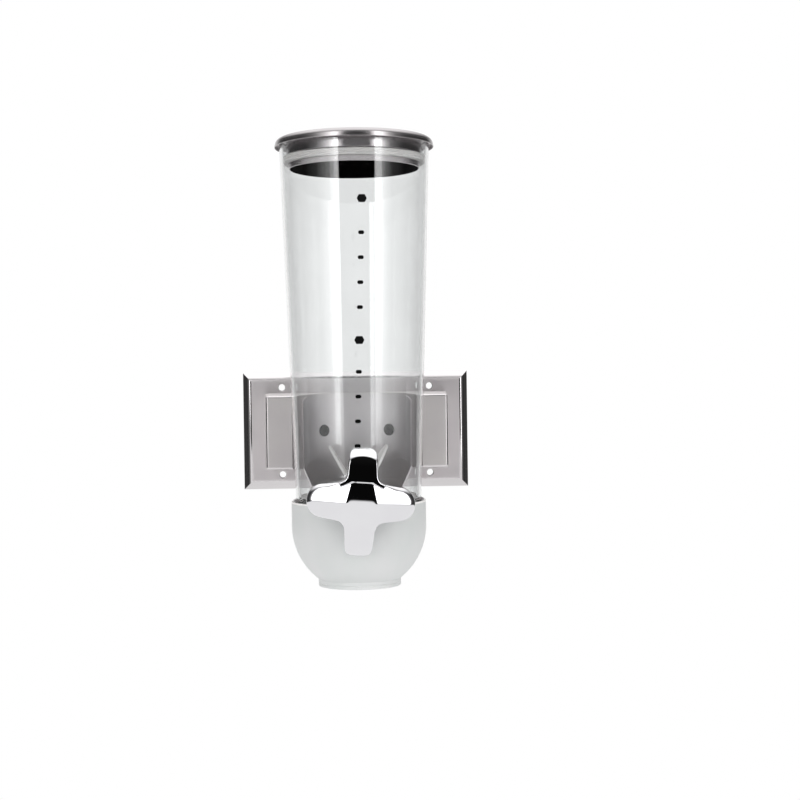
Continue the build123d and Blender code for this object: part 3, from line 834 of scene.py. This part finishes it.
def vane_bm():
    """One vane that stands up from the sleeve."""
    root = SLEEVE_R - VANE_ROOT
    grids = []
    for x in (-VANE_T / 2, VANE_T / 2):
        grid = []
        for y in ease(-VANE_HALF, VANE_HALF, 32):
            tip = sqrt(WHEEL_R**2 - y**2)
            grid.append([(x, y, root + (tip - root) * k / VANE_ROWS) for k in range(VANE_ROWS + 1)])
        grids.append(grid)
    return soften(grid_solid(*grids), 0.6, 3, 50)


def wheel_bm():
    """The sleeve with its vanes."""
    sleeve = rounded(
        [(SLEEVE_BORE_R, -VANE_HALF, 0.3), (SLEEVE_R, -VANE_HALF, 0.8),
         (SLEEVE_R, VANE_HALF, 0.8), (SLEEVE_BORE_R, VANE_HALF, 0.3)], 4,
    )
    bm = lathe(sleeve, AXIS_WHEEL, 72)
    centre = Matrix.Translation((0, AXIS_Y, WHEEL_Z))
    for index in range(VANES):
        turn = Matrix.Rotation(radians(FIRST_VANE + 360 / VANES * index), 4, "Y")
        vane = vane_bm()
        bmesh.ops.transform(vane, matrix=centre @ turn, verts=vane.verts)
        join(bm, vane)
    return bm


finish_piece("soft_wheel", wheel_bm(), "rotor", ["paddle_wheel"], [silicone])

# %% [markdown]
# ## The tube
# One moulded tube, a little wider at its mouth. A bead above its foot rests on the bowl's rim
# and stops beside the ears, and two open slots let the tube lift off the shaft. The wall is
# turned with its bead and then cut. It needs a real thickness, because light bends at both
# faces of the wall, and that makes the pale lines along its sides.

# %% Tube
BEAD_R, BEAD_Z, BEAD_H, BEAD_CUT_R, EAR_GAP = 55.6, BOWL_RIM_Z + 1.2, 2.5, 54.2, 16.5
SLOT_HALF, MOUTH_ROUND = 7.5, 1.0


def tube_bm():
    """The tapered wall with its bead, all round."""
    mouth_r = tube_r(TUBE_HIGH)
    section = rounded(
        [
            (TUBE_FOOT_R - TUBE_WALL, TUBE_LOW, 0.7), (TUBE_FOOT_R, TUBE_LOW, 0.7),
            (tube_r(BEAD_Z), BEAD_Z, 0.3), (BEAD_R, BEAD_Z, 0.5), (BEAD_R, BEAD_Z + BEAD_H / 2, 0.6),
            (tube_r(BEAD_Z + BEAD_H), BEAD_Z + BEAD_H, 0.8), (mouth_r, TUBE_HIGH, MOUTH_ROUND),
            (mouth_r - TUBE_WALL, TUBE_HIGH, MOUTH_ROUND),
        ],
        4,
    )
    return lathe(section, steps=256)


def bead_gap_bm(near, far):
    """The piece of the bead to cut away beside an ear, between two depths."""
    low, high = BEAD_Z - 1, BEAD_Z + 4
    ring = lathe([(BEAD_CUT_R, low), (58, low), (58, high), (BEAD_CUT_R, high)])
    return combine(ring, box_bm((-EAR_GAP, near, -70), (EAR_GAP, far, -40)), "INTERSECT")


tube = tube_bm()
for near, far in ((2 * AXIS_Y, AXIS_Y), (AXIS_Y, 0)):
    tube = combine(tube, bead_gap_bm(near, far), "DIFFERENCE")
slot_top = cylinder_bm(SLOT_HALF, -90, 90, AXIS_WHEEL)
slot_sides = box_bm((-SLOT_HALF, -170, -90), (SLOT_HALF, 20, WHEEL_Z))
tube = combine(tube, combine(slot_top, slot_sides, "UNION"), "DIFFERENCE")
finish_piece("clear_tube", tube, "canister", ["canister"], [clear_plastic], 28)

# %% [markdown]
# ## The lid
# The cap is spun from sheet steel, with a lip that turns down over the tube's mouth. Under it
# a cup reaches into the tube: a polished skirt above a narrower seat for the ring, and an
# underside painted black as painted shade. All three are turned. The cap's inner face follows
# its outer one, so the sheet is as thin as it looks from below.

# %% Lid cap
CAP_TOP, CAP_R, CAP_SHEET, LIP_OUT_R, LIP_LOW, LIP_WALL = 248.2, 65.9, 0.8, 67.4, 241.05, 0.7

cap_profile = rounded(
    [
        (0, CAP_TOP, 0), (CAP_R, CAP_TOP, 5.0), (LIP_OUT_R, LIP_LOW, 0.25),
        (LIP_OUT_R - LIP_WALL, LIP_LOW, 0.2), (CAP_R - LIP_WALL, CAP_TOP - CAP_SHEET, 4.2),
        (0, CAP_TOP - CAP_SHEET, 0),
    ],
    8,
    closed=False,
)
cap = lathe(cap_profile, steps=192, closed=False)
finish_piece("lid_cap", cap, "lid", ["lid_shell"], [lid_steel])

# %% Lid cup
CUP_LOW, CUP_TOP, CUP_FLOOR, FLOOR_R, WELL_R = 222.6, 247.35, 223.8, 54.4, 54.6
SEAT_LOW, SEAT_TOP, SEAT_R, SKIRT_R, RIM_R = 226.6, 232.8, 55.8, 57.0, 62.8


def cup_bm():
    """The turned cup, with black painted shade as a second material on its underside."""
    section = rounded(
        [
            (0, CUP_LOW, 0), (FLOOR_R, CUP_LOW, 0), (FLOOR_R + 0.5, CUP_LOW + 0.2, 0.4),
            (SEAT_R, SEAT_LOW, 0.3), (SEAT_R, SEAT_TOP, 0.5), (SKIRT_R, SEAT_TOP + 1.2, 0.5),
            (SKIRT_R, TUBE_HIGH, 0.8), (RIM_R, TUBE_HIGH, 0.3), (RIM_R, CUP_TOP, 0.3),
            (WELL_R, CUP_TOP, 0.8), (WELL_R, CUP_FLOOR, 1.5), (0, CUP_FLOOR, 0),
        ],
        6,
        closed=False,
    )
    bm = lathe(section, steps=192, closed=False)
    # The underside faces get the near black painted shade.
    for face in bm.faces:
        x, y, z = face.calc_center_median()
        if z < CUP_LOW + 0.1 and hypot(x, y - AXIS_Y) < FLOOR_R:
            face.material_index = 1
    return bm


finish_piece("lid_cup", cup_bm(), "lid", ["lid_core"], [cup_steel, underside_painted_shade])

# %% [markdown]
# The silicone ring has three soft lips that press on the tube. A loop draws one lip after
# another, so that their number and spacing are each a single value.

# %% Lid ring
SEAL_LOW, SEAL_PITCH, LIPS = SEAT_LOW + 0.2, 2.0, 3
SEAL_IN_R, VALLEY_R, TIP_R = 55.85, 59.3, 60.0

seal = [(SEAL_IN_R, SEAL_LOW, 0.3)]
for index in range(LIPS):
    low = SEAL_LOW + index * SEAL_PITCH
    seal += [(VALLEY_R, low + 0.1, 0.3), (TIP_R, low + 0.5, 0.5)]
    seal += [(TIP_R, low + 1.4, 0.5), (VALLEY_R, low + 1.9, 0.3)]
seal += [(SEAL_IN_R, SEAL_LOW + LIPS * SEAL_PITCH, 0.3)]
seal_ring = lathe(rounded(seal, 4), steps=192)
finish_piece("lid_ring", seal_ring, "lid", ["lid_seal"], [silicone])

# %% [markdown]
# ## The knob
# The real knob is a chromed casting: an upright arm crosses a broader bar, with webs in the
# inner corners. Its outline could be traced by hand. Here it comes from a distance: how far a
# point lies outside each bar. The nearer bar wins, and where both are about equally near, a
# small amount is taken off, which fills the corner.

# %% Knob outline
KNOB_REACH, KNOB_BACK, KNOB_DEPTH = 43.5, 64.9, 26.3
ARM = (28.0, 21.5, 6.0)
BAR = (36.0, 24.0, 11.5)
WEB = 7.0


def bar_distance(across, along, root, tip, corner):
    """Distance outside a tapered bar with round ends, negative inside it."""
    width = root / 2 - (root - tip) / 2 * min(1.0, abs(along) / KNOB_REACH)
    a = abs(across) - width + corner
    b = abs(along) - KNOB_REACH + corner
    return min(max(a, b), 0.0) + hypot(max(a, 0.0), max(b, 0.0)) - corner


def knob_distance(x, z):
    """Distance outside the knob's outline, with the inner corners filled by webs."""
    arm = bar_distance(x, z, *ARM)
    bar = bar_distance(z, x, *BAR)
    blend = max(WEB - abs(arm - bar), 0.0) / WEB
    return min(arm, bar) - blend**2 * WEB / 4


def outline_radius(angle):
    """Distance from the knob's centre to its outline in one direction."""
    low, high = 5.0, 60.0
    for _ in range(40):
        middle = (low + high) / 2
        if knob_distance(middle * sin(angle), middle * cos(angle)) < 0:
            low = middle
        else:
            high = middle
    return low


print("knob reaches up by", round(outline_radius(0), 2), "and out at 45 degrees by",
      round(outline_radius(pi / 4), 2))

# %% [markdown]
# The front is a height over that outline. A flat ridge runs down the middle, the lobes fall
# away to both sides, the raised arm steps down to the bar, and the edge is round all the way.
# Polished metal shows only what it mirrors, so these slopes decide where it is black and
# where it is white.

# %% Knob front
RIDGE_HALF, RIDGE_TAPER, LOBE_SLOPE = 11.2, 3.7, tan(radians(16))
CREST_Z, ARM_RISE, CAP_Z, CAP_SLOPE = 16.6, 0.35, 37.3, tan(radians(20))
DOME_Z, DOME_R = 4.8, 78.0
EDGE, EDGE_NEAR_MIDDLE = 4.5, 1.3


def smooth(value, low, high):
    """A smooth step from 0 to 1."""
    share = min(1.0, max(0.0, (value - low) / (high - low)))
    return share**2 * (3 - 2 * share)


def knob_front(x, z):
    """How far the front lies behind its highest point."""
    across = abs(x)
    side = across - (RIDGE_HALF - RIDGE_TAPER * min(1.0, max(0.0, z) / CREST_Z))
    fall = LOBE_SLOPE * (side + sqrt(side**2 + 1.5)) / 2
    crest = CREST_Z - 0.46 * max(0.0, across - 7.5) + 2.5 * max(0.0, across - 17.0)
    fall = (fall + ARM_RISE) * (1 - smooth(z, crest - 0.5, crest + 0.5))
    cap = max(0.0, z - CAP_Z + min(across, 12.0) ** 2 / 45) * CAP_SLOPE
    dome = (z - DOME_Z) ** 2 / (2 * DOME_R)
    depth = max(0.0, -knob_distance(x, z))
    width = EDGE
    if z >= 0:
        width = EDGE_NEAR_MIDDLE + (EDGE - EDGE_NEAR_MIDDLE) * smooth(across, 16.0, 30.0)
    edge = width - sqrt(width**2 - (width - depth) ** 2) if depth < width else 0.0
    return fall + cap + dome + edge


print("the lobes' tips lie", round(knob_front(40, 0), 1), "mm behind the middle")

# %% [markdown]
# Rings of points run from the middle to the outline, closer together near the edge, where the
# front bends most. Each point is lifted to its height, the rings are bridged, and three more
# rings make the side and the back. Fewer rings would let their steps show in the chrome. The
# innermost ring is closed with a face that is poked into a fan.

# %% Knob
KNOB_TURN = radians(4.0)
KNOB_STEPS, KNOB_RINGS, RING_EASE = 288, 130, 1.7
BACK_RINGS = ((0.0, 1.0), (0.3, 0.3), (1.0, 0.0))
HUB_R, HUB_BORE_R, HUB_BACK, HUB_FRONT = 11.0, 4.3, 60.95, 66.0


def knob_bm():
    """The knob and the short hub behind it."""
    bm = bmesh.new()
    top = KNOB_BACK + KNOB_DEPTH
    turn = Matrix.Rotation(KNOB_TURN, 3, "Y")

    def place(x, z, out):
        p = turn @ Vector((x, 0, z))
        return (p.x, AXIS_Y - out, WHEEL_Z + p.z)

    angles = [2 * pi * k / KNOB_STEPS for k in range(KNOB_STEPS)]
    spokes = [(sin(angle), cos(angle), outline_radius(angle)) for angle in angles]
    rings = []
    for ring in range(1, KNOB_RINGS + 1):
        share = 1 - (1 - ring / KNOB_RINGS) ** RING_EASE
        spots = [(far * share * across, far * share * up) for across, up, far in spokes]
        rings.append(ring_of(bm, [place(x, z, top - knob_front(x, z)) for x, z in spots]))
    for inset, out in BACK_RINGS:
        spots = [((far - inset) * across, (far - inset) * up) for across, up, far in spokes]
        rings.append(ring_of(bm, [place(x, z, KNOB_BACK + out) for x, z in spots]))
    bridge(bm, rings)
    tip = bmesh.ops.poke(bm, faces=close(bm, rings[0]))["verts"][0]
    tip.co = place(0, 0, top - knob_front(0, 0))
    close(bm, rings[-1])
    bmesh.ops.recalc_face_normals(bm, faces=bm.faces)
    hub = rounded(
        [(HUB_BORE_R, HUB_BACK, 0.2), (HUB_R, HUB_BACK, 0.5), (HUB_R, HUB_FRONT, 0),
         (HUB_BORE_R, HUB_FRONT, 0)], 4,
    )
    lathe(hub, AXIS_WHEEL, 64, bm=bm)
    return bm


finish_piece("chrome_knob", knob_bm(), "rotor", ["knob"], [chrome], 40)

# %% [markdown]
# ## Studio
# The object hangs in a pale studio: a white backdrop and floor, a white ceiling, two tall
# soft strip lights at the sides of the viewer, and a darker room behind the viewer, which
# polished metal shows. Lamps would do it too, but their place would have to be guessed from
# their reflections. A world far away needs only directions, which reflections do give. A
# direction's parts are the coordinates, and each light is a smooth zone in them.

# %% Light levels


def zone(tree, value, start, end, strength):
    """A smooth step along one direction, times a strength."""
    return spread(tree, value, start, end, 0.0, strength, interpolation_type="SMOOTHSTEP")


def times(tree, *levels):
    """Several levels multiplied."""
    level = levels[0]
    for other in levels[1:]:
        level = number(tree, "MULTIPLY", level, other)
    return level


def strongest(tree, *levels):
    """The highest of several levels."""
    level = levels[0]
    for other in levels[1:]:
        level = number(tree, "MAXIMUM", level, other)
    return level


print("level helpers ready: zone, times, strongest")

# %% [markdown]
# The strip lights are a table of brightness against azimuth: bright cores, softer shoulders
# outwards, and a hard inner edge, as the bands on the tube and on the lid show them.

# %% Strip lights
# Azimuth in degrees, from the viewer's direction towards +X, and brightness
STRIPS = (
    (-86, 0.0), (-62, 0.05), (-50, 0.2), (-40, 0.33), (-38.5, 0.5), (-33.5, 0.6), (-32, 0.9),
    (-26.5, 0.9), (-25, 0.0), (30, 0.0), (31.5, 0.9), (41, 0.9), (42.5, 0.5), (46, 0.33), (50, 0.2),
    (60, 0.05), (86, 0.0),
)
STRIP_STRENGTH = 5.0


def strip_lights(tree, x, y, z):
    """Both strips, from just under the horizon to high up."""
    azimuth = number(tree, "ARCTAN2", x, number(tree, "MULTIPLY", y, -1.0))
    turn = number(tree, "MULTIPLY_ADD", azimuth, 1 / pi, 0.5)
    strip = add(tree, "ShaderNodeValToRGB", {"Fac": turn})
    stops = strip.color_ramp.elements
    for degrees, level in STRIPS:
        stops.new(degrees / 180 + 0.5).color = (level, level, level, 1)
    stops.remove(stops[-1])
    stops.remove(stops[0])
    bottom = zone(tree, z, -0.19, 0.04, 1.0)
    top = zone(tree, z, 0.80, 0.60, STRIP_STRENGTH)
    return times(tree, strip.outputs["Color"], bottom, top)


print("strip lights:", len(STRIPS), "stops")

# %% [markdown]
# Soft light that comes back from the floor, and light that has passed the tube twice, is
# weaker here than in the photo, because a path of light is cut after some bounces. Light Path
# counts the bounces, so fills can be given to just those paths: to matt surfaces, to matt
# surfaces inside the tube or bowl, and to metal inside or behind the tube.

# %% Fills


def fewer(tree, count, limit):
    """One where a count of bounces is under a limit, else zero."""
    return number(tree, "LESS_THAN", count, limit - 0.5)


def at_least(tree, count, limit):
    """One where a count of bounces reaches a limit, else zero."""
    return number(tree, "GREATER_THAN", count, limit - 0.5)


def fills(tree, path, y):
    """The extra levels for matt surfaces, and for metal in or behind the tube."""
    glossy, clear, matt = (path[kind + " Depth"] for kind in ("Glossy", "Transmission", "Diffuse"))
    one_metal = times(tree, at_least(tree, glossy, 1), fewer(tree, glossy, 2))
    some_metal = times(tree, at_least(tree, glossy, 1), fewer(tree, glossy, 4))
    from_front = zone(tree, y, 0.3, -0.2, 1.45)
    from_viewer = zone(tree, y, -0.80, -0.96, 0.22)
    any_matt = at_least(tree, matt, 1)
    return (
        times(tree, some_metal, at_least(tree, clear, 6), from_front),
        times(tree, one_metal, at_least(tree, clear, 4), from_viewer),
        times(tree, any_matt, 0.5),
        times(tree, any_matt, at_least(tree, clear, 3), 0.95),
    )


print("four fills: metal behind the tube, metal in it, matt, matt behind plastic")

# %% [markdown]
# The parts come together in one background shader. What is seen straight, or through clear
# plastic alone, is plain white, and so is the backdrop as far as a single tube wall bends it.

# %% World


def studio_world():
    """Builds the world and returns how many nodes it has."""
    world = bpy.data.worlds.new("pale_studio")
    scene.world = world
    world.use_nodes = True
    tree = world.node_tree
    tree.nodes.clear()
    coords = add(tree, "ShaderNodeTexCoord").outputs["Generated"]
    x, y, z = add(tree, "ShaderNodeSeparateXYZ", {0: coords}).outputs
    path = add(tree, "ShaderNodeLightPath").outputs
    overhead = number(tree, "MULTIPLY_ADD", y, 0.25, z)
    ceiling = zone(tree, overhead, 0.45, 1.0, 1.6)
    floor = zone(tree, z, -0.12, -0.17, 0.95)
    backdrop = zone(tree, y, 0.7, 0.95, 1.0)
    room = spread(tree, y, -0.85, 0.3, 0.003, 0.05)
    strips = strip_lights(tree, x, y, z)
    level = strongest(tree, ceiling, floor, backdrop, room, strips, *fills(tree, path, y))
    no_metal = fewer(tree, path["Glossy Depth"], 1)
    in_one_wall = times(
        tree, fewer(tree, path["Transmission Depth"], 3), zone(tree, y, 0.5, 0.95, 1.0)
    )
    clear = times(tree, path["Is Transmission Ray"], fewer(tree, path["Diffuse Depth"], 1))
    through = times(tree, clear, strongest(tree, no_metal, in_one_wall))
    level = strongest(tree, level, path["Is Camera Ray"], through)
    white = add(tree, "ShaderNodeBackground", {"Color": (1, 1, 1, 1), "Strength": level})
    add(tree, "ShaderNodeOutputWorld", {"Surface": white.outputs[0]})
    return len(tree.nodes)


print("world nodes:", studio_world())

# %% [markdown]
# ## Camera
# The photo was taken with a long lens, a little to the left of the tube's axis, and turned by
# a few degrees at most. The camera could be aimed at a target, but that leaves out its slight
# roll. Here yaw, pitch and roll turn its three directions one after another.

# %% Camera
CAMERA_AT = (-27.68, -1350.0, 44.434)
YAW, PITCH, ROLL = -0.05010, -0.01353, 0.01334
LENS, SENSOR = 67.5, 36.0


def photo_camera():
    """Places the camera and makes it the scene's own."""
    right = Vector((cos(YAW), sin(YAW), 0))
    ahead = Vector((-sin(YAW) * cos(PITCH), cos(YAW) * cos(PITCH), sin(PITCH)))
    up = Vector((sin(YAW) * sin(PITCH), -cos(YAW) * sin(PITCH), cos(PITCH)))
    side = right * cos(ROLL) - up * sin(ROLL)
    top = right * sin(ROLL) + up * cos(ROLL)
    data = bpy.data.cameras.new("photo_camera")
    data.sensor_width = SENSOR
    data.lens = LENS
    item = bpy.data.objects.new("photo_camera", data)
    scene.collection.objects.link(item)
    place = Matrix((side, top, -ahead)).transposed().to_4x4()
    place.translation = Vector(CAMERA_AT) * MM
    item.matrix_world = place
    scene.camera = item


photo_camera()
print("camera at", CAMERA_AT, "with a lens of", LENS, "mm")
